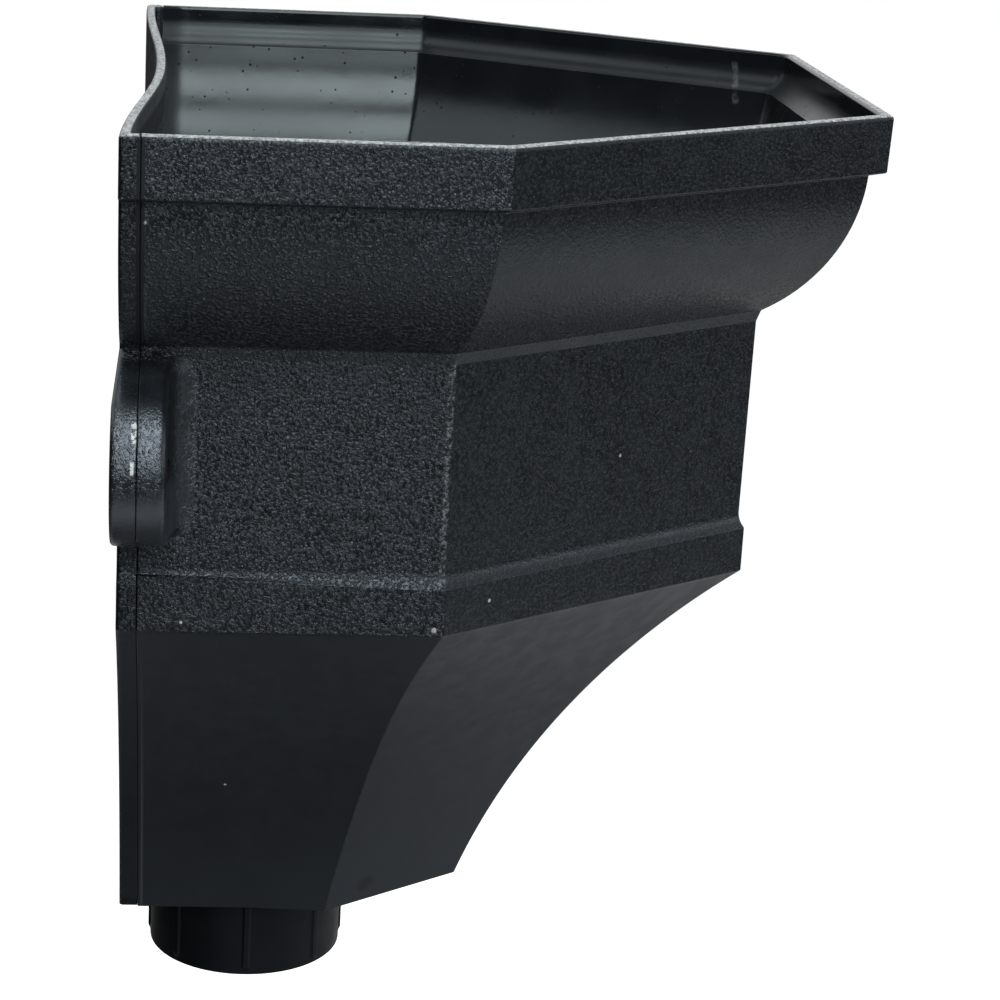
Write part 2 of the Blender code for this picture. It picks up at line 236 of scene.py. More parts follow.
def arc(start, end, radius, side, steps):
    """Points along the arc from start to end, both left out."""
    dx = end[0] - start[0]
    dz = end[1] - start[1]
    chord = math.hypot(dx, dz)
    rise = math.sqrt(radius * radius - chord * chord / 4.0)
    cx = (start[0] + end[0]) / 2.0 - side * rise * dz / chord
    cz = (start[1] + end[1]) / 2.0 + side * rise * dx / chord
    a0 = math.atan2(start[1] - cz, start[0] - cx)
    a1 = math.atan2(end[1] - cz, end[0] - cx)
    turn = (a1 - a0 + math.pi) % (2.0 * math.pi) - math.pi
    return [(cx + radius * math.cos(a0 + turn * i / steps),
             cz + radius * math.sin(a0 + turn * i / steps)) for i in range(1, steps)]


def corner(before, point, after, radius, steps, support):
    """The points that round one corner, with a support point on each side."""
    p = Vector(point)
    u = Vector(before) - p
    v = Vector(after) - p
    la = u.length
    lb = v.length
    u /= la
    v /= lb
    half = u.angle(v) / 2.0
    if radius == 0.0 or half > 1.56:
        return [tuple(p)]
    reach = min(radius / math.tan(half), 0.35 * la, 0.35 * lb)
    r = reach * math.tan(half)
    centre = p + (u + v).normalized() * (r / math.sin(half))
    start = p + u * reach
    end = p + v * reach
    a0 = math.atan2(start.y - centre.y, start.x - centre.x)
    a1 = math.atan2(end.y - centre.y, end.x - centre.x)
    turn = (a1 - a0 + math.pi) % (2.0 * math.pi) - math.pi
    gap = min(support, 0.2 * la, 0.2 * lb)
    points = [tuple(start + u * gap)]
    for k in range(steps + 1):
        a = a0 + turn * k / steps
        points.append((centre.x + r * math.cos(a), centre.y + r * math.sin(a)))
    points.append(tuple(end + v * gap))
    return points


def rounded_line(points, radii, steps=4, support=0.3):
    """An open line of points with rounded corners."""
    out = [points[0]]
    for i in range(1, len(points) - 1):
        out += corner(points[i - 1], points[i], points[i + 1], radii[i], steps, support)
    out.append(points[-1])
    return out


def rounded_ring(corners, radii, cuts, steps=4, support=0.4):
    """A closed loop with rounded corners and evenly cut straights."""
    count = len(corners)
    pieces = []
    for i in range(count):
        after = corners[(i + 1) % count]
        pieces.append(corner(corners[i - 1], corners[i], after, radii[i], steps, support))
    loop = []
    for i in range(count):
        loop += pieces[i]
        a = Vector(pieces[i][-1])
        b = Vector(pieces[(i + 1) % count][0])
        for k in range(cuts[i]):
            loop.append(tuple(a.lerp(b, (k + 1) / (cuts[i] + 1))))
    return loop


def outer_profile():
    """Outside of the wall from the rim down, as (distance in, height)."""
    ovolo = arc((SOFFIT_IN, OVOLO_TOP), (OVOLO_IN, OVOLO_BOTTOM), OVOLO_RADIUS, side=1, steps=26)
    sweep = arc((BAND_IN, BAND_BOTTOM), (BOTTOM_IN, 0.0), SWEEP_RADIUS, side=-1, steps=44)
    points = [(OVERRUN, BODY_HEIGHT), (0.0, BODY_HEIGHT), (RIM_DRAFT, RIM_BOTTOM), (SOFFIT_IN, OVOLO_TOP)]
    radii = [0.0, TOP_ROUND, 0.6, 0.5]
    points += ovolo
    radii += [0.0] * len(ovolo)
    neck_foot = (NECK_IN + NECK_DRAFT, NECK_BOTTOM)
    points += [(OVOLO_IN, OVOLO_BOTTOM), (NECK_IN, NECK_TOP), neck_foot]
    radii += [0.8, 1.2, 0.0]
    cove = arc(neck_foot, (BAND_IN, BAND_TOP), BAND_COVE, side=-1, steps=8)
    points += cove + [(BAND_IN, BAND_TOP), (BAND_IN, BAND_BOTTOM)]
    radii += [0.0] * len(cove) + [0.45, 0.4]
    points += sweep
    radii += [0.0] * len(sweep)
    points += [(BOTTOM_IN, 0.0), (BOTTOM_IN + OVERRUN, 0.0)]
    radii += [0.35, 0.0]
    return rounded_line(points, radii)


def sweep_centre():
    """Centre of the sweep's arc, as (distance in, height)."""
    dx = BOTTOM_IN - BAND_IN
    dz = -BAND_BOTTOM
    chord = math.hypot(dx, dz)
    rise = math.sqrt(SWEEP_RADIUS ** 2 - chord ** 2 / 4.0)
    return ((BAND_IN + BOTTOM_IN) / 2.0 + rise * dz / chord, BAND_BOTTOM / 2.0 - rise * dx / chord)


def inner_profile():
    """Inside of the wall from above the rim down to the floor."""
    step_z = RIM_BOTTOM + WALL
    neck_in = NECK_IN + WALL
    top_in = SOFFIT_IN + WALL
    slope = (OVOLO_BOTTOM - OVOLO_TOP) / (OVOLO_IN - SOFFIT_IN)
    neck_z = step_z + slope * (neck_in - top_in)
    flat = WALL - TOP_ROUND
    low = BODY_HEIGHT - TOP_ROUND
    points = [(flat + 0.1, BODY_HEIGHT + OVERRUN)]
    for degrees in (80, 62, 44, 26, 9):
        a = math.radians(degrees)
        points.append((flat + TOP_ROUND * math.cos(a), low + TOP_ROUND * math.sin(a)))
    radii = [0.0] * len(points)
    rim_in = WALL + INNER_DRAFT
    run = top_in - rim_in
    radius = (run * run + STEP_HOLLOW * STEP_HOLLOW) / (2.0 * run)
    hollow = arc((rim_in, step_z + STEP_HOLLOW), (top_in, step_z), radius, side=1, steps=10)
    points += [(rim_in, step_z + STEP_HOLLOW)] + hollow + [(top_in, step_z)]
    radii += [0.0] * (len(hollow) + 1) + [0.25]
    ovolo = arc((top_in, step_z), (neck_in, neck_z), OVOLO_INNER, side=1, steps=20)
    points += ovolo
    radii += [0.0] * len(ovolo)
    reach = SWEEP_RADIUS + WALL
    centre = sweep_centre()
    join_z = centre[1] + math.sqrt(reach ** 2 - (neck_in - centre[0]) ** 2)
    foot_in = centre[0] + math.sqrt(reach ** 2 - (FLOOR - centre[1]) ** 2)
    points += [(neck_in, neck_z), (neck_in, join_z)]
    radii += [2.0, 2.0]
    sweep = arc((neck_in, join_z), (foot_in, FLOOR), reach, side=-1, steps=24)
    points += sweep
    radii += [0.0] * len(sweep)
    points += [(foot_in, FLOOR), (foot_in + 2.0, FLOOR)]
    radii += [1.5, 0.0]
    return rounded_line(points, radii)


def plan(distance, back_y, height):
    """The eight corners of the plan at one level, left to right."""
    run_x = (RIM_WIDTH - FRONT_WIDTH) / 2.0
    run_y = DEPTH - SIDE_LENGTH
    length = math.hypot(run_x, run_y)
    px = -RIM_WIDTH / 2.0 + run_y / length * distance
    py = -SIDE_LENGTH + run_x / length * distance
    side_x = -RIM_WIDTH / 2.0 + distance
    front_y = -DEPTH + distance
    side_y = py - (side_x - px) * run_y / run_x
    front_x = px + (py - front_y) * run_x / run_y
    spread = FOOT_SPREAD * max(0.0, 1.0 - height / FOOT_HEIGHT) ** 1.5
    left = [(side_x, back_y), (side_x - 0.15 * spread, -OUTLET_FROM_WALL)]
    left += [(side_x - spread, side_y + spread), (front_x, front_y)]
    return left + [(-x, y) for x, y in reversed(left)]


# meshes

def make(name, rows, materials=(), top=None):
    """A closed body through equal loops of (x, y, z) points.

    top lists the loop positions of each face that closes the last loop.
    """
    bm = bmesh.new()
    rings = [[bm.verts.new(place(*p)) for p in row] for row in rows]
    count = len(rings[0])
    for low, high in zip(rings[:-1], rings[1:]):
        for i in range(count):
            j = (i + 1) % count
            bm.faces.new((low[i], low[j], high[j], high[i]))
    bm.faces.new(list(reversed(rings[0])))
    for ids in top or [range(count)]:
        bm.faces.new([rings[-1][i] for i in ids])
    bmesh.ops.remove_doubles(bm, verts=bm.verts, dist=0.000005)
    bmesh.ops.recalc_face_normals(bm, faces=bm.faces)
    return from_bmesh(name, bm, materials)


def from_bmesh(name, bm, materials=()):
    mesh = bpy.data.meshes.new(name)
    bm.to_mesh(mesh)
    bm.free()
    for mat in materials:
        mesh.materials.append(mat)
    obj = bpy.data.objects.new(name, mesh)
    bpy.context.scene.collection.objects.link(obj)
    return obj


def bake(obj):
    """Puts what the modifiers make into the mesh itself."""
    bpy.context.view_layer.update()
    graph = bpy.context.evaluated_depsgraph_get()
    mesh = bpy.data.meshes.new_from_object(obj.evaluated_get(graph), depsgraph=graph)
    obj.modifiers.clear()
    obj.data = mesh


def combine(target, tool, operation):
    """Joins the tool to the target or cuts it out of it, and removes the tool."""
    modifier = target.modifiers.new("cut", "BOOLEAN")
    modifier.operation = operation
    modifier.solver = "EXACT"
    modifier.material_mode = "TRANSFER"
    modifier.object = tool
    bake(target)
    bpy.data.objects.remove(tool, do_unlink=True)


def smooth(obj, angle=32.0):
    """Shade smooth, with the large flat faces ruling the normals."""
    for polygon in obj.data.polygons:
        polygon.use_smooth = True
    obj.data.set_sharp_from_angle(angle=math.radians(angle))
    modifier = obj.modifiers.new("normals", "WEIGHTED_NORMAL")
    modifier.mode = "FACE_AREA"
    modifier.weight = 60
    modifier.keep_sharp = True
    bake(obj)


def plug(name, profile, back_y, radii, cuts, mat):
    """A closed body with the eight-cornered plan at every level of a profile."""
    rows = []
    for distance, height in profile:
        corners = plan(distance, back_y, height)
        loop = rounded_ring(corners, radii, cuts)
        near = max(0.0, 1.0 - abs(height - BAND_TOP) / LEDGE_REACH)
        rows.append([(x, y, height + LEDGE_RISE * near * ledge_share(x, y)) for x, y in loop])
    return make(name, rows, [mat])


def ledge_share(x, y):
    """0 in front of the side walls, growing to 1 at their back edge."""
    if abs(x) < RIM_WIDTH / 2.0 - BAND_IN - 3.0:
        return 0.0
    return max(0.0, min(1.0, (y - LEDGE_START) / LEDGE_RUN))


# ears

def ear_outline():
    """Outline of an ear from its foot at the wall round the nose to its top.

    Points are (run out from the neck, height).
    """
    nose = EAR_REACH - EAR_RADIUS
    points = []
    r = EAR_FOOT_COVE
    for k in range(5):
        a = math.radians(90.0 * k / 4)
        points.append((r - r * math.cos(a), EAR_HEIGHT - EAR_RADIUS - r + r * math.sin(a)))
    for k in range(2):
        points.append((r + (nose - r) * (k + 1) / 3, EAR_HEIGHT - EAR_RADIUS))
    for k in range(41):
        a = math.radians(-90.0 + (90.0 + EAR_SLOPE) * k / 40)
        points.append((nose + EAR_RADIUS * math.cos(a), EAR_HEIGHT + EAR_RADIUS * math.sin(a)))
    run, height = points[-1]
    rise = run / math.tan(math.radians(EAR_SLOPE))
    for k in range(1, 12):
        points.append((run * (1.0 - k / 11), height + rise * k / 11))
    return points


def distance_to_line(p, line):
    """Distance from a point to the nearest stretch of a line."""
    best = 1e9
    for (ax, az), (bx, bz) in zip(line[:-1], line[1:]):
        dx = bx - ax
        dz = bz - az
        t = max(0.0, min(1.0, ((p[0] - ax) * dx + (p[1] - az) * dz) / (dx * dx + dz * dz + 1e-12)))
        best = min(best, math.hypot(p[0] - ax - dx * t, p[1] - az - dz * t))
    return best


def quarter(radius, run):
    """How far a rounded edge falls away at a distance in from it."""
    if run >= radius:
        return 0.0
    return radius - math.sqrt(max(0.0, radius ** 2 - (radius - run) ** 2))


def front_depth(run, dist):
    """Place of the front face of an ear, with its rounded edge and its cove to the wall."""
    flare = quarter(EAR_FRONT_COVE, max(run, 0.0))
    return -(EAR_FRONT + flare - quarter(EAR_FRONT_ROUND + EAR_ROUND_GROWTH * flare, dist))


def back_depth(height, dist):
    """Place of the back face of an ear, which leans in to the plate at its shoulder."""
    above = max(0.0, height - EAR_SHOULDER + EAR_RAMP)
    lean = EAR_PROUD * max(0.0, 1.0 - above / EAR_RAMP)
    return lean - quarter(EAR_BACK_ROUND, dist)


def ear_grids(side, front):
    """Both faces of half an ear, as rows of points that run in from its outline."""
    outline = ear_outline()
    wall_x = RIM_WIDTH / 2.0 - NECK_IN - NECK_DRAFT - 0.1
    joint = -(SEAM_DEPTH + SEAM_GAP) if front else -SEAM_DEPTH
    near_steps = [1.25 * s for s in (0.0, 0.1, 0.3, 0.6, 1.0, 1.5, 2.2, 3.0)]
    far_count = 12
    face_rows = []
    flat_rows = []
    for run, height in outline:
        start = Vector((run, height))
        way = Vector((-EAR_SINK, EAR_HEIGHT + (height - EAR_HEIGHT) * EAR_SQUEEZE)) - start
        length = way.length
        spots = [min(s, length * 0.5) for s in near_steps]
        last = spots[-1]
        spots += [last + (length - last) * (k + 1) / far_count for k in range(far_count)]
        face = []
        flat = []
        for s in spots:
            p = start + way * (s / length)
            dist = distance_to_line((p.x, p.y), outline)
            y = front_depth(p.x, dist) if front else back_depth(p.y, dist)
            face.append((side * (wall_x + p.x), y, p.y))
            edge = quarter(SEAM_ROUND, dist)
            flat.append((side * (wall_x + p.x), joint - edge if front else joint + edge, p.y))
        face_rows.append(face)
        flat_rows.append(flat)
    return face_rows, flat_rows


def half_ear(name, side, front, mat):
    """The share of an ear in front of the joint, or behind it."""
    face_rows, flat_rows = ear_grids(side, front)
    bm = bmesh.new()
    face = [[bm.verts.new(place(*p)) for p in row] for row in face_rows]
    flat = [[bm.verts.new(place(*p)) for p in row] for row in flat_rows]
    for grid in (face, flat):
        for a, b in zip(grid[:-1], grid[1:]):
            for i in range(len(a) - 1):
                bm.faces.new((a[i], a[i + 1], b[i + 1], b[i]))
    levels = 5
    count = len(face)
    strip = [[row[0] for row in face]]
    for k in range(1, levels):
        ring = []
        for i in range(count):
            a = face[i][0].co
            b = flat[i][0].co
            ring.append(bm.verts.new(a.lerp(b, k / levels)))
        strip.append(ring)
    strip.append([row[0] for row in flat])
    for a, b in zip(strip[:-1], strip[1:]):
        for i in range(count - 1):
            bm.faces.new((a[i], a[i + 1], b[i + 1], b[i]))
    for i in range(count - 1):
        bm.faces.new((face[i][-1], face[i + 1][-1], flat[i + 1][-1], flat[i][-1]))
    for i in (0, count - 1):
        ring = list(face[i]) + list(reversed(flat[i])) + [strip[k][i] for k in range(levels - 1, 0, -1)]
        bm.faces.new(ring)
    bmesh.ops.recalc_face_normals(bm, faces=bm.faces)
    return from_bmesh(name, bm, [mat])


def hole(name, side, mat):
    """The round tool that cuts one screw hole."""
    x = side * (RIM_WIDTH / 2.0 - NECK_IN + EAR_HOLE_RUN)
    bm = bmesh.new()
    turn = Matrix.Rotation(math.pi / 2.0, 4, "X")
    matrix = Matrix.Translation(place(x, -8.0, EAR_HOLE_HEIGHT)) @ turn
    bmesh.ops.create_cone(bm, cap_ends=True, segments=48, radius1=EAR_HOLE_RADIUS * MM,
                          radius2=EAR_HOLE_RADIUS * MM, depth=0.05, matrix=matrix)
    return from_bmesh(name, bm, [mat])


# outlet

def outlet(mat):
    """The round outlet with its ribs, as one closed tube without its bore."""
    rows = []
    around = 288
    low = -OUTLET_LENGTH
    stations = [(low, -0.4), (low + 0.1, -0.2), (low + 0.25, -0.06), (low + 0.5, 0.0), (low + 1.1, 0.0)]
    stations += [(low + 1.8, 0.0), (low + 2.4, 0.0), (low + 3.0, 0.0), (low + 4.0, 0.0), (-16.0, 0.0)]
    stations += [(-8.0, 0.0), (-2.0, 0.0)]
    stations += [(-0.8, 0.15), (-0.2, 0.6), (1.5, 0.6)]
    for z, extra in stations:
        rise = max(0.0, min(1.0, (z - low - 1.4) / 1.6))
        row = []
        for i in range(around):
            a = 2.0 * math.pi * i / around
            near = (a * RIB_COUNT / (2.0 * math.pi) + 0.5) % 1.0 - 0.5
            off = abs(near) * 2.0 * math.pi / RIB_COUNT * OUTLET_RADIUS
            bump = RIB_PROUD * max(0.0, min(1.0, (RIB_WIDTH / 2.0 - off) / 0.6 + 0.2))
            r = OUTLET_RADIUS + extra + bump * rise
            row.append((r * math.cos(a), r * math.sin(a) - OUTLET_FROM_WALL, z))
        rows.append(row)
    return make("outlet", rows, [mat])


def bore(mat):
    """The tool that opens the outlet, a little wider at both ends."""
    rows = []
    radius = OUTLET_RADIUS - OUTLET_WALL
    low = -OUTLET_LENGTH
    stations = ((low - OVERRUN, 1.0), (low - 0.1, 0.4), (low + 0.3, 0.0), (3.0, 0.0), (4.1, 0.9), (10.0, 1.2))
    for z, extra in stations:
        row = []
        for i in range(128):
            a = 2.0 * math.pi * (i + 0.5) / 128
            r = radius + extra
            row.append((r * math.cos(a), r * math.sin(a) - OUTLET_FROM_WALL, z))
        rows.append(row)
    return make("bore", rows, [mat])


# back plate

def bow(x, height):
    """How far the plate leans forward at a place."""
    if x < BOW_CENTRE:
        u = (x - BOW_CENTRE) / (RIM_WIDTH / 2.0 + BOW_CENTRE)
    else:
        u = (x - BOW_CENTRE) / (RIM_WIDTH / 2.0 - BOW_CENTRE)
    v = (BODY_HEIGHT - height) / BOW_HEIGHT
    if abs(u) >= 1.0 or v >= 1.0:
        return 0.0
    return BOW * math.cos(u * math.pi / 2.0) ** 2 * math.cos(v * math.pi / 2.0) ** 2


def plate_row(distance, height, solid, shrink=0.0):
    """One level of the back plate: solid at the floor, and with a return on each side above it."""
    half = RIM_WIDTH / 2.0 - distance
    inner = half - WALL + shrink
    half -= shrink
    front = -SEAM_DEPTH + shrink
    face = -SEAM_DEPTH + 0.002 if solid else -BACK_WALL + shrink
    corners = [(half, -shrink), (-half, -shrink), (-half, front), (-inner, front)]
    corners += [(-inner, face), (inner, face), (inner, front), (half, front)]
    radii = [1.2, 1.2, SEAM_ROUND, 0.2, 0.6, 0.6, 0.2, SEAM_ROUND]
    if solid:
        radii = [1.2, 1.2, SEAM_ROUND, 0.0005, 0.0005, 0.0005, 0.0005, SEAM_ROUND]
    loop = rounded_ring(corners, radii, [48, 1, 1, 0, 48, 0, 1, 1])
    row = []
    for x, y in loop:
        lean = bow(x, height) if abs(x) < half - 2.0 and y > -SEAM_DEPTH + 0.5 else 0.0
        row.append((x, y - lean, height))
    return row


def plate_top():
    """The faces that close a plate row: a strip between back and face, and both returns."""
    turn = 7
    cuts = 48
    back = [turn - 1 + k for k in range(cuts + 2)]
    start = 5 * turn + cuts + 2 - 1
    face = [start + k for k in range(cuts + 2)]
    faces = [[back[k], back[k + 1], face[-2 - k], face[-1 - k]] for k in range(cuts + 1)]
    faces.append(list(range(back[-1], face[0] + 1)))
    total = 8 * turn + 2 * cuts + 4
    faces.append(list(range(face[-1], total)) + list(range(0, back[0] + 1)))
    return faces


def distance_at(profile, height):
    """How far in the profile stands at a height."""
    if height >= profile[0][1]:
        return profile[0][0]
    for (d0, z0), (d1, z1) in zip(profile[:-1], profile[1:]):
        if z1 <= height <= z0 and z0 > z1:
            return d0 + (d1 - d0) * (z0 - height) / (z0 - z1)
    return profile[-1][0]


def back_plate(mat, lining, ear_mat, hole_mat):
    """The back moulding with its share of both ears."""
    profile = [p for p in outer_profile() if p[1] < BODY_HEIGHT - TOP_ROUND]
    levels = {round(height, 4) for _, height in profile if height > FLOOR}
    levels |= {252.0} | {150.0 + 8.0 * k for k in range(6)}
    rows = [plate_row(BOTTOM_IN + 0.9, 0.0, True), plate_row(BOTTOM_IN + 0.2, 0.5, True)]
    rows.append(plate_row(distance_at(profile, FLOOR), FLOOR, True))
    rows.append(plate_row(distance_at(profile, FLOOR), FLOOR + 0.01, False))
    for height in sorted(levels):
        rows.append(plate_row(distance_at(profile, height), height, False))
    for a in (0, 18, 36, 54, 72, 90):
        shrink = TOP_ROUND * (1.0 - math.cos(math.radians(a)))
        rise = TOP_ROUND * math.sin(math.radians(a))
        rows.append(plate_row(0.0, BODY_HEIGHT - TOP_ROUND + rise, False, shrink))
    plate = make("back_plate_skin", rows, [mat, lining], plate_top())
    for polygon in plate.data.polygons:
        if polygon.normal.y < -0.6:
            polygon.material_index = 1
    for side, tag in ((-1, "left"), (1, "right")):
        lug = half_ear("lug_" + tag, side, False, ear_mat)
        combine(lug, hole("hole_" + tag, side, hole_mat), "DIFFERENCE")
        combine(plate, lug, "UNION")
    return plate


def front_body(outside, inside, ear_mat, outlet_mat, hole_mat):
    """The front moulding with its share of both ears, its outlet and its hollow."""
    joint_y = -(SEAM_DEPTH + SEAM_GAP)
    radii = [SEAM_ROUND, 0.0] + [CORNER_ROUND] * 4 + [0.0, SEAM_ROUND]
    cuts = [6, 6, 10, 10, 10, 6, 6, 8]
    body = plug("front_body_skin", outer_profile(), joint_y, radii, cuts, outside)
    for side, tag in ((-1, "left"), (1, "right")):
        lug = half_ear("lug_" + tag, side, True, ear_mat)
        combine(lug, hole("hole_" + tag, side, hole_mat), "DIFFERENCE")
        combine(body, lug, "UNION")
    combine(body, outlet(outlet_mat), "UNION")
    radii = [0.0, 0.0] + [INNER_CORNER_ROUND] * 4 + [0.0, 0.0]
    hollow = plug("hollow", inner_profile(), OVERRUN, radii, cuts, inside)
    combine(body, hollow, "DIFFERENCE")
    combine(body, bore(inside), "DIFFERENCE")
    combine(body, flash(outside), "UNION")
    return body


def flash(mat):
    """A thin thread left on the inner edge of the near rim, with a lump at its end."""
    start_y = 61.0
    run = 45.0
    steps = 24
    rows = []
    for k in range(steps + 1):
        share = k / steps
        x = -RIM_WIDTH / 2.0 + WALL + 0.2 + 2.6 * math.sin(math.pi * share) ** 0.6
        y = start_y - run * share - WALL_Y
        size = 0.12 + 0.75 * math.exp(-((share - 0.97) / 0.02) ** 2)
        z = BODY_HEIGHT - 0.35 - size
        ring = [2.0 * math.pi * i / 8 for i in range(8)]
        rows.append([(x + size * math.cos(a), y, z + size * math.sin(a)) for a in ring])
    return make("flash", rows, [mat])


# materials

class Nodes:
    """Small helper that adds and links the nodes of one material."""

    def __init__(self, name):
        self.mat = bpy.data.materials.new(name)
        self.mat.use_nodes = True
        self.tree = self.mat.node_tree
        self.shader = self.tree.nodes["Principled BSDF"]
        self.point = self.add("ShaderNodeTexCoord").outputs["Object"]

    def add(self, kind, inputs=None, **settings):
        node = self.tree.nodes.new(kind)
        for key, value in settings.items():
            setattr(node, key, value)
        for key, value in (inputs or {}).items():
            self.put(node.inputs[key], value)
        return node

    def put(self, socket, value):
        if isinstance(value, bpy.types.NodeSocket):
            self.tree.links.new(value, socket)
        else:
            socket.default_value = value

    def math(self, operation, a, b=0.0, clamp=False):
        node = self.add("ShaderNodeMath", {0: a, 1: b}, operation=operation)
        node.use_clamp = clamp
        return node.outputs[0]

    def times(self, a, b):
        return self.math("MULTIPLY", a, b)

    def plus(self, value, mask, amount):
        """The value with an amount added where the mask is 1."""
        return self.math("ADD", value, self.times(mask, amount))

    def less(self, value, mask, share):
        """The value, lowered by a share of itself where the mask is 1."""
        return self.times(value, self.math("SUBTRACT", 1.0, self.times(mask, share)))

    def noise(self, scale, detail=2.0, roughness=0.5):
        inputs = {"Vector": self.point, "Scale": scale, "Detail": detail, "Roughness": roughness}
        return self.add("ShaderNodeTexNoise", inputs).outputs["Fac"]

    def dots(self, vector, scale):
        """Small round bumps of uneven height, 0 to 1."""
        cells = self.add("ShaderNodeTexVoronoi", {"Vector": vector, "Scale": scale, "Randomness": 1.0},
                         feature="F1")
        share = self.add("ShaderNodeSeparateColor", {0: cells.outputs["Color"]}).outputs[0]
        return self.math("MULTIPLY", self.ramp(cells.outputs["Distance"], 0.55, 0.05),
                         self.ramp(share, 0.20, 1.0, 0.10, 1.0))

    def ramp(self, value, low, high, to_low=0.0, to_high=1.0):
        inputs = {"Value": value, "From Min": low, "From Max": high, "To Min": to_low, "To Max": to_high}
        return self.add("ShaderNodeMapRange", inputs, interpolation_type="SMOOTHSTEP").outputs[0]

    def mix(self, factor, a, b):
        node = self.add("ShaderNodeMix", data_type="RGBA")
        self.put(node.inputs["Factor"], factor)
        self.put(node.inputs["A"], a)
        self.put(node.inputs["B"], b)
        return node.outputs["Result"]

    def near(self, point, radius):
        """1 inside a small ball, falling to 0 at its edge. The point is in the frame's millimetres."""
        spot = tuple(v * MM for v in point)
        node = self.add("ShaderNodeVectorMath", {0: self.point, 1: spot}, operation="DISTANCE")
        return self.ramp(node.outputs["Value"], 0.4 * radius * MM, radius * MM, 1.0, 0.0)

    def streak(self, start, end, radius, count):
        """The largest of several near masks along a line."""
        total = self.near(start, radius)
        for k in range(1, count):
            spot = Vector(start).lerp(Vector(end), k / (count - 1))
            total = self.math("MAXIMUM", total, self.near(spot, radius))
        return total


def plain_plastic(name):
    """The dull dark wall of a screw hole."""
    n = Nodes(name)
    n.shader.inputs["Base Color"].default_value = HOLE_DARK
    n.shader.inputs["Roughness"].default_value = 0.85
    n.shader.inputs["Specular IOR Level"].default_value = 0.2
    return n.mat


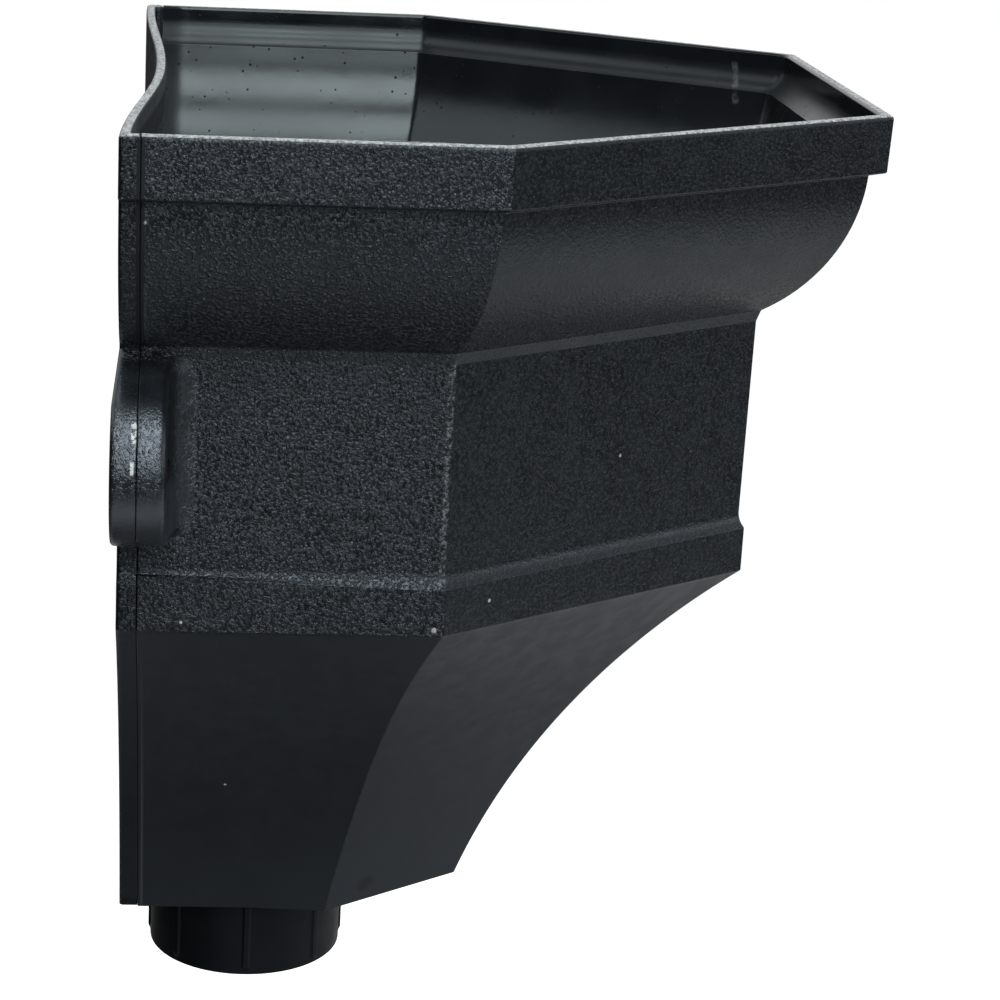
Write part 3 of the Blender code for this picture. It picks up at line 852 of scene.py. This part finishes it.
# sheen_share scales the painted sheen, and 0 leaves it out
def outside_plastic(name, shine=0.60, base_rough=0.26, sheen_share=1.0):
    """Black plastic with a cast grain above the sweep and smooth below it; the rim's top has a painted
    highlight, the slanted and lower faces a painted sheen, and the joint's groove painted shade.
    """
    n = Nodes(name)
    axes = n.add("ShaderNodeSeparateXYZ", {0: n.point})
    z = axes.outputs["Z"]
    normal = n.add("ShaderNodeSeparateXYZ", {0: n.add("ShaderNodeNewGeometry").outputs["True Normal"]})
    cast = n.ramp(z, *CAST_ZONE)
    smooth_part = n.math("SUBTRACT", 1.0, cast)
    slant = n.ramp(n.math("ABSOLUTE", normal.outputs["Y"]), 0.3, 0.5)
    # up-facing faces of the rim's top, which get the painted highlight
    top = n.times(n.ramp(normal.outputs["Z"], 0.5, 0.9), n.ramp(z, *RIM_TOP_ZONE))
    ear = n.times(n.ramp(n.math("ABSOLUTE", axes.outputs["X"]), *EAR_RUN_ZONE), n.ramp(z, *EAR_TOP_ZONE))
    ear = n.times(ear, cast)
    low_ear = n.times(ear, n.ramp(z, *EAR_LOW_ZONE))
    high_ear = n.times(ear, n.ramp(z, *EAR_HIGH_ZONE))
    off = n.math("ABSOLUTE", n.math("SUBTRACT", axes.outputs["Y"], JOINT_Y))
    groove = n.times(n.ramp(off, 1.3 * MM, 0.8 * MM), n.ramp(z, *GROOVE_ZONE))
    strength = n.less(cast, slant, 0.72)
    for mask, share in ((ear, 0.55), (low_ear, 0.8), (high_ear, 0.75), (groove, 1.0)):
        strength = n.less(strength, mask, share)

    warp = n.add("ShaderNodeTexNoise", {"Vector": n.point, "Scale": 900.0, "Detail": 1.0}).outputs["Color"]
    shift = n.add("ShaderNodeVectorMath", {0: warp, "Scale": 0.0011}, operation="SCALE").outputs[0]
    spot = n.add("ShaderNodeVectorMath", {0: n.point, 1: shift}, operation="ADD").outputs[0]
    dots = n.times(n.dots(spot, 1000.0), strength)
    blobs = n.noise(1000.0, 2.0, 0.6)
    pale = n.times(n.ramp(blobs, 0.50, 0.72), strength)
    height = n.plus(n.times(n.ramp(blobs, 0.42, 0.75), strength), dots, 0.5)
    height = n.plus(height, n.noise(2200.0, 1.0, 0.5), 0.06)
    bump = n.add("ShaderNodeBump", {"Strength": 1.0, "Distance": 0.00026, "Height": height})
    n.put(n.shader.inputs["Normal"], bump.outputs["Normal"])
    n.shader.inputs["Specular Tint"].default_value = (0.74, 0.87, 1.0, 1.0)
    n.shader.inputs["Specular IOR Level"].default_value = shine

    mottle = n.ramp(n.noise(55.0, 3.0, 0.6), 0.3, 0.7)
    colour = n.mix(mottle, OUTSIDE_DEEP, OUTSIDE_PALE)
    # painted sheen, lighter where light falls: up the smooth lower walls, on the slanted faces and on the
    # ear's lower face
    sheen = n.times(smooth_part, n.ramp(z, *PAINTED_SHEEN_ZONE))
    sheen = n.math("MAXIMUM", sheen, n.math("MULTIPLY", slant, n.math("SUBTRACT", 0.6, cast), True))
    sheen = n.math("MAXIMUM", sheen, low_ear)
    colour = n.mix(n.times(sheen, sheen_share), colour, PAINTED_SHEEN)
    # pale grain tops, painted partly as glints of light on the grain
    colour = n.mix(n.math("MAXIMUM", dots, n.times(pale, 0.5)), colour, GRAIN_AND_GLINT)
    # painted highlights along the joint's edge and on the weld bead
    colour = joint_highlights(n, axes, colour, smooth_part)
    # painted highlight in pale specks down the neck's corner
    colour = corner_highlight(n, colour, cast)
    for centre, size in SPECKS:
        colour = n.mix(n.near(centre, size), colour, SPECK_PALE)
    colour = n.mix(n.times(n.near(*SMUDGE), 0.6), colour, SMUDGE_DARK)
    # painted shade in a band along the joint's groove on the rim and the ovolo
    colour = n.mix(n.times(groove, 0.85), colour, GROOVE_SHADE)
    # painted highlight: the rim's up-facing top painted pale, in flecks
    flecks = n.ramp(n.noise(900.0, 3.0, 0.8), 0.36, 0.62)
    colour = n.mix(top, colour, n.mix(flecks, RIM_TOP_HIGHLIGHT_DEEP, RIM_TOP_HIGHLIGHT_PALE))
    n.put(n.shader.inputs["Base Color"], colour)

    rough = n.ramp(n.noise(140.0, 2.0, 0.6), 0.3, 0.7, base_rough, base_rough + 0.08)
    for mask, amount in ((smooth_part, 0.14), (ear, -0.06), (top, 0.3), (groove, 0.45)):
        rough = n.plus(rough, mask, amount)
    n.put(n.shader.inputs["Roughness"], rough)
    return n.mat


def joint_highlights(n, axes, colour, smooth_part):
    """Painted highlights: a pale line along the joint's edge, and bright spots on the ear where the weld bead
    catches the light.
    """
    y = axes.outputs["Y"]
    z = axes.outputs["Z"]
    off = n.math("ABSOLUTE", n.math("SUBTRACT", y, JOINT_Y - 1.3 * MM))
    high = n.times(n.ramp(z, *LINE_FOOT_ZONE), n.ramp(z, *LINE_TOP_ZONE))
    line = n.times(n.ramp(off, 0.55 * MM, 0.20 * MM), n.math("MAXIMUM", smooth_part, high))
    # painted highlight along the joint's edge
    colour = n.mix(line, colour, JOINT_EDGE_HIGHLIGHT)
    fade = 0.8
    # painted highlights of the weld bead, in bright spots on the ear's nose
    for bead_y, half, low_z, high_z in BEAD_HIGHLIGHTS:
        off = n.math("ABSOLUTE", n.math("SUBTRACT", y, bead_y * MM))
        bead = n.ramp(off, half * MM, 0.5 * half * MM)
        bead = n.times(bead, n.ramp(z, low_z * MM, (low_z + fade) * MM))
        bead = n.times(bead, n.ramp(z, high_z * MM, (high_z - fade) * MM))
        bead = n.times(bead, n.ramp(axes.outputs["X"], *EAR_NOSE_ZONE))
        bead = n.times(bead, n.ramp(n.noise(600.0, 2.0, 0.6), 0.34, 0.48))
        colour = n.mix(bead, colour, BEAD_HIGHLIGHT)
    return colour


def corner_highlight(n, colour, cast):
    """A painted highlight in pale specks down the corner between the near side and the slanted side of the
    neck.
    """
    corner_x = -(RIM_WIDTH / 2.0 - NECK_IN - NECK_DRAFT / 2.0)
    flat = n.add("ShaderNodeVectorMath", {0: n.point, 1: (1.0, 1.0, 0.0)}, operation="MULTIPLY").outputs[0]
    spot = (corner_x * MM, HIGHLIGHT_CORNER_Y * MM, 0.0)
    away = n.add("ShaderNodeVectorMath", {0: flat, 1: spot}, operation="DISTANCE").outputs["Value"]
    edge = n.times(n.ramp(away, 1.3 * MM, 0.5 * MM), n.ramp(n.noise(800.0), 0.45, 0.65))
    return n.mix(n.times(edge, cast), colour, CORNER_HIGHLIGHT)


def inside_plastic(name, shine=0.45, base_rough=0.17):
    """Smooth black plastic with small dark dots and one scuff."""
    n = Nodes(name)
    axes = n.add("ShaderNodeSeparateXYZ", {0: n.point})
    z = axes.outputs["Z"]
    height = n.plus(n.times(n.noise(240.0, 2.0, 0.5), 0.5), n.noise(1500.0, 2.0, 0.6), 0.2)
    height = n.plus(height, n.ramp(axes.outputs["Y"], *LEAN_ZONE), 32.0)
    bump = n.add("ShaderNodeBump", {"Strength": 1.0, "Distance": 0.00008, "Height": height})
    n.put(n.shader.inputs["Normal"], bump.outputs["Normal"])

    mottle = n.ramp(n.noise(60.0, 3.0, 0.6), 0.3, 0.7)
    colour = n.mix(mottle, INSIDE_DEEP, INSIDE_PALE)
    inputs = {"Vector": n.point, "Scale": 330.0, "Randomness": 1.0}
    cells = n.add("ShaderNodeTexVoronoi", inputs, feature="F1")
    share = n.add("ShaderNodeSeparateColor", {0: cells.outputs["Color"]}).outputs[0]
    size = n.ramp(n.noise(90.0, 1.0, 0.5), 0.35, 0.65, 0.05, 0.15)
    dots = n.times(n.ramp(share, 0.30, 0.34), n.math("LESS_THAN", cells.outputs["Distance"], size))
    colour = n.mix(dots, colour, DOT_DARK)
    scuff = n.times(n.streak(*SCUFF, 1.5, 14), n.ramp(n.noise(500.0, 2.0, 0.7), 0.30, 0.65))
    n.put(n.shader.inputs["Base Color"], n.mix(scuff, colour, SCUFF_PALE))

    rough = n.ramp(n.noise(30.0, 2.0, 0.6), 0.3, 0.7, base_rough, base_rough + 0.08)
    step = n.times(n.ramp(z, *STEP_FOOT_ZONE), n.ramp(z, *STEP_TOP_ZONE))
    rough = n.plus(rough, step, 0.12)
    rough = n.plus(rough, n.ramp(z, *RIM_FACE_ZONE), -0.10)
    n.put(n.shader.inputs["Roughness"], n.math("ADD", rough, n.times(dots, 0.6), True))
    n.shader.inputs["Specular Tint"].default_value = (0.82, 0.96, 1.0, 1.0)
    n.shader.inputs["Specular IOR Level"].default_value = shine
    return n.mat


# stage

def camera():
    """The photograph's camera, from the fit of the object's corners."""
    yaw = -0.0792
    pitch = 0.2875
    roll = 0.0454
    forward = Vector((math.cos(pitch) * math.cos(yaw), math.cos(pitch) * math.sin(yaw), -math.sin(pitch)))
    right = forward.cross(Vector((0.0, 0.0, 1.0))).normalized()
    above = right.cross(forward)
    across = math.cos(roll) * right + math.sin(roll) * above
    upward = -math.sin(roll) * right + math.cos(roll) * above
    data = bpy.data.cameras.new("camera")
    data.sensor_width = 36.0
    data.lens = 95.774
    data.shift_x = 0.10
    data.shift_y = -0.01
    data.clip_start = 0.01
    data.clip_end = 50.0
    obj = bpy.data.objects.new("camera", data)
    turn = Matrix((across, upward, -forward)).transposed().to_4x4()
    obj.matrix_world = Matrix.Translation((-0.80421, 0.08527, 0.39246)) @ turn
    bpy.context.scene.collection.objects.link(obj)
    bpy.context.scene.camera = obj


def lamp(name, spot, target, size, watts, height=None):
    """A soft box that faces a target."""
    data = bpy.data.lights.new(name, "AREA")
    data.shape = "RECTANGLE"
    data.size = size
    data.size_y = height or size
    data.energy = watts
    obj = bpy.data.objects.new(name, data)
    obj.location = spot
    obj.rotation_euler = (Vector(target) - Vector(spot)).to_track_quat("-Z", "Y").to_euler()
    bpy.context.scene.collection.objects.link(obj)


def world_ramp(tree, value, span, to):
    """A smooth change between two levels over a span of the value."""
    node = tree.nodes.new("ShaderNodeMapRange")
    node.interpolation_type = "SMOOTHSTEP"
    node.inputs["From Min"].default_value = span[0]
    node.inputs["From Max"].default_value = span[1]
    node.inputs["To Min"].default_value = to[0]
    node.inputs["To Max"].default_value = to[1]
    tree.links.new(value, node.inputs["Value"])
    return node.outputs[0]


def world():
    """A white studio to the camera, with soft light from the front side and from above."""
    w = bpy.data.worlds.new("studio")
    bpy.context.scene.world = w
    w.use_nodes = True
    tree = w.node_tree
    back = tree.nodes["Background"]
    back.inputs["Color"].default_value = (1.0, 1.0, 1.0, 1.0)
    path = tree.nodes.new("ShaderNodeLightPath")
    way = tree.nodes.new("ShaderNodeTexCoord")
    axes = tree.nodes.new("ShaderNodeSeparateXYZ")
    tree.links.new(way.outputs["Generated"], axes.inputs[0])
    side = world_ramp(tree, axes.outputs["Y"], (0.1, -0.9), (0.015, 0.60))
    far = world_ramp(tree, axes.outputs["X"], (0.05, 0.60), (0.0, 1.0))
    above = world_ramp(tree, axes.outputs["Z"], (0.02, 0.20), (0.0, 1.0))
    over = tree.nodes.new("ShaderNodeMath")
    over.operation = "MULTIPLY"
    tree.links.new(far, over.inputs[0])
    tree.links.new(above, over.inputs[1])
    total = tree.nodes.new("ShaderNodeMath")
    total.operation = "MAXIMUM"
    tree.links.new(side, total.inputs[0])
    tree.links.new(over.outputs[0], total.inputs[1])
    ray = tree.nodes.new("ShaderNodeMix")
    ray.inputs["B"].default_value = 1.0
    tree.links.new(path.outputs["Is Camera Ray"], ray.inputs["Factor"])
    tree.links.new(total.outputs[0], ray.inputs["A"])
    tree.links.new(ray.outputs["Result"], back.inputs["Strength"])


def floor():
    """The pale floor, white to the camera; its colour is darker right under the object as a painted shadow,
    and darker behind the object and far from it.
    """
    bm = bmesh.new()
    matrix = Matrix.Translation((0.0, 0.0, FLOOR_Z))
    bmesh.ops.create_grid(bm, x_segments=1, y_segments=1, size=6.0, matrix=matrix)
    n = Nodes("floor_paint")
    flat = n.add("ShaderNodeVectorMath", {0: n.point, 1: (1.0, 0.7, 0.0)}, operation="MULTIPLY")
    away = n.add("ShaderNodeVectorMath", {0: flat.outputs[0]}, operation="LENGTH").outputs["Value"]
    # painted shadow on the floor right under the object; the floor is also darker far away and behind it
    tone = n.math("MULTIPLY", n.ramp(away, 0.10, 0.45), n.ramp(away, 1.15, 0.75))
    behind = n.ramp(n.add("ShaderNodeSeparateXYZ", {0: n.point}).outputs["Y"], 0.60, 0.20)
    tone = n.math("MULTIPLY", tone, behind)
    n.put(n.shader.inputs["Base Color"], n.mix(tone, (0.02, 0.02, 0.02, 1.0), (0.50, 0.50, 0.50, 1.0)))
    n.shader.inputs["Roughness"].default_value = 0.9
    path = n.add("ShaderNodeLightPath")
    n.shader.inputs["Emission Color"].default_value = (1.0, 1.0, 1.0, 1.0)
    n.put(n.shader.inputs["Emission Strength"], n.math("MULTIPLY", path.outputs["Is Camera Ray"], 0.985))
    obj = from_bmesh("floor", bm, [n.mat])


camera()
world()
floor()
for name, elevation, spread, watts in SOFT_BOXES:
    up = math.radians(elevation)
    spot = Vector(BOX_TARGET) + BOX_DISTANCE * Vector((-math.cos(up), 0.0, math.sin(up)))
    lamp(name, spot, BOX_TARGET, 0.90, watts, 2.0 * BOX_DISTANCE * math.tan(math.radians(spread)))
lamp("over", (0.02, -0.05, 1.80), (0.02, -0.05, 0.0), 0.90, 7.0, 0.55)
lamp("back", (-0.20, 1.10, 1.30), (0.0, 0.0, 0.25), 0.80, 3.0)
lamp("front", (-0.35, -1.10, 0.30), (-0.35, -1.10, FLOOR_Z), 0.70, 4.5)

outside = outside_plastic("outside_plastic")
inside = inside_plastic("inside_plastic")
ear_mat = outside_plastic("ear_plastic", 1.0, 0.32)
outlet_mat = outside_plastic("outlet_plastic", 0.17, 0.22, 0.0)
back_mat = outside_plastic("plate_plastic", 0.45)
lining = inside_plastic("lining_plastic", 0.20, 0.36)
hole_mat = plain_plastic("hole_plastic")

body_skin = front_body(outside, inside, ear_mat, outlet_mat, hole_mat)
smooth(body_skin)
plate_skin = back_plate(back_mat, lining, ear_mat, hole_mat)
smooth(plate_skin)

skins = ((body_skin, "front_body", "body_plastic"), (plate_skin, "back_plate", "back_plastic"))
for piece, node, slot in skins:
    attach(piece, "root")
    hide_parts(node)

bpy.context.scene.view_settings.view_transform = "Standard"
